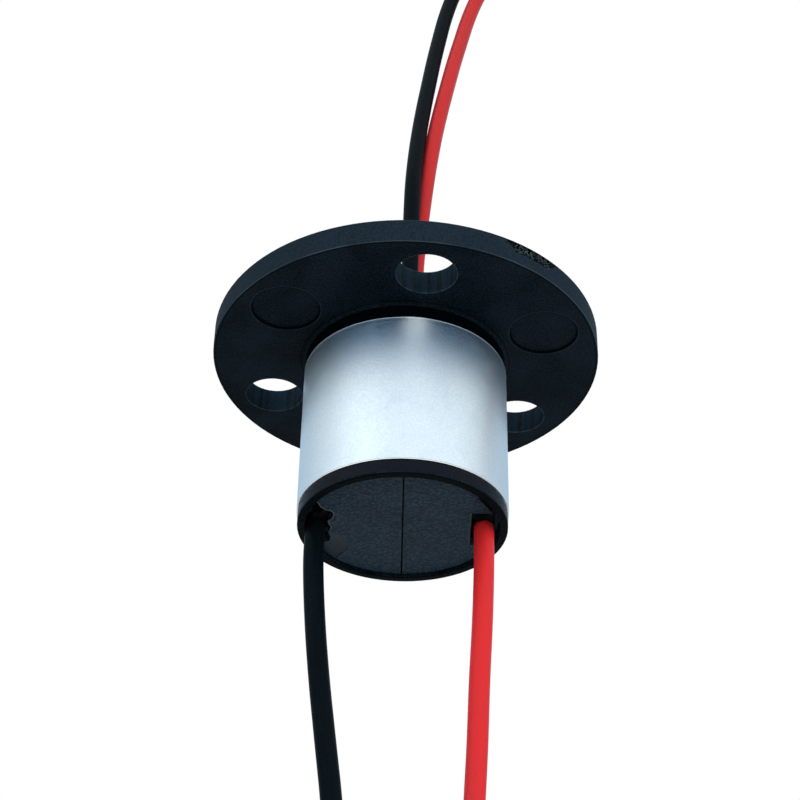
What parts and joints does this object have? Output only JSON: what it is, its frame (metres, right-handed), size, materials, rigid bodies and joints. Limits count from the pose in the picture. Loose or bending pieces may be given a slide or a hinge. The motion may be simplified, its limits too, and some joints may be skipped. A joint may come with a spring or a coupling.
{
  "type": "slip ring",
  "caption": "Small flanged slip ring: round flange with mounting holes, foil-banded barrel, turning rotor on ball bearings, flying leads at both ends.",
  "frame": {"origin": "centre of the flange face that seats on the panel, on the rotor axis", "axes": "+Z along the rotor axis, from the barrel towards the rotor nose; +X from the black stator lead towards the red one"},
  "size_m": [0.0526, 0.024, 0.1239],
  "materials": {
    "housing_plastic": "moulded, fine matt grain",
    "label_foil": "satin foil, no print",
    "block_plastic": "moulded, fine pebble grain",
    "brass": "tinned at the joint",
    "brush_alloy": "drawn wire",
    "bearing_steel": "ground",
    "ball_steel": "polished",
    "cage_plastic": "natural nylon",
    "rotor_plastic": "moulded",
    "ring_gold": "gold plated, running tracks",
    "barrier_plastic": "moulded",
    "spacer_metal": "turned",
    "clip_steel": "stamped spring steel",
    "potting": "cast epoxy",
    "tinned_copper": "stranded and tinned",
    "lead_black": "extruded, smooth",
    "lead_red": "extruded, smooth",
    "tie_nylon": "natural nylon"
  },
  "bodies": {
    "stator": {"housing": "housing_plastic", "label": "label_foil", "brush_block_left": "block_plastic", "brush_block_right": "block_plastic", "terminal_left": "brass", "terminal_right": "brass", "brush_wires_left": "brush_alloy", "brush_wires_right": "brush_alloy", "upper_outer_race": "bearing_steel", "lower_outer_race": "bearing_steel", "stator_lead_black": "lead_black", "stator_hank_black": "lead_black", "stator_lead_red": "lead_red", "stator_hank_red": "lead_red", "stator_hank_tie": "tie_nylon", "stator_lead_ends": "tinned_copper"},
    "rotor": {"rotor_shaft": "rotor_plastic", "ring_upper": "ring_gold", "ring_lower": "ring_gold", "barrier_top": "barrier_plastic", "barrier_middle": "barrier_plastic", "barrier_bottom": "barrier_plastic", "rotor_spacer": "spacer_metal", "retaining_ring": "clip_steel", "rotor_potting": "potting", "rotor_conductors": "tinned_copper", "upper_inner_race": "bearing_steel", "lower_inner_race": "bearing_steel", "rotor_lead_black": "lead_black", "rotor_hank_black": "lead_black", "rotor_lead_red": "lead_red", "rotor_hank_red": "lead_red", "rotor_hank_tie": "tie_nylon", "rotor_lead_ends": "tinned_copper"},
    "upper_ball_set": {"upper_cage": "cage_plastic", "upper_balls": "ball_steel"},
    "lower_ball_set": {"lower_cage": "cage_plastic", "lower_balls": "ball_steel"}
  },
  "joints": [
    {"name": "rotor_spin", "type": "hinge", "parent": "stator", "child": "rotor", "pos_m": [0, 0, 0], "axis": [0, 0, 1], "continuous": true},
    {"name": "upper_cage_spin", "type": "hinge", "parent": "stator", "child": "upper_ball_set", "pos_m": [0, 0, 0], "axis": [0, 0, 1], "continuous": true},
    {"name": "lower_cage_spin", "type": "hinge", "parent": "stator", "child": "lower_ball_set", "pos_m": [0, 0, -0.0096], "axis": [0, 0, 1], "continuous": true}
  ],
  "couplings": [
    {"joint": "upper_cage_spin", "follows": "rotor_spin", "ratio": 0.4231},
    {"joint": "lower_cage_spin", "follows": "rotor_spin", "ratio": 0.4231}
  ]
}
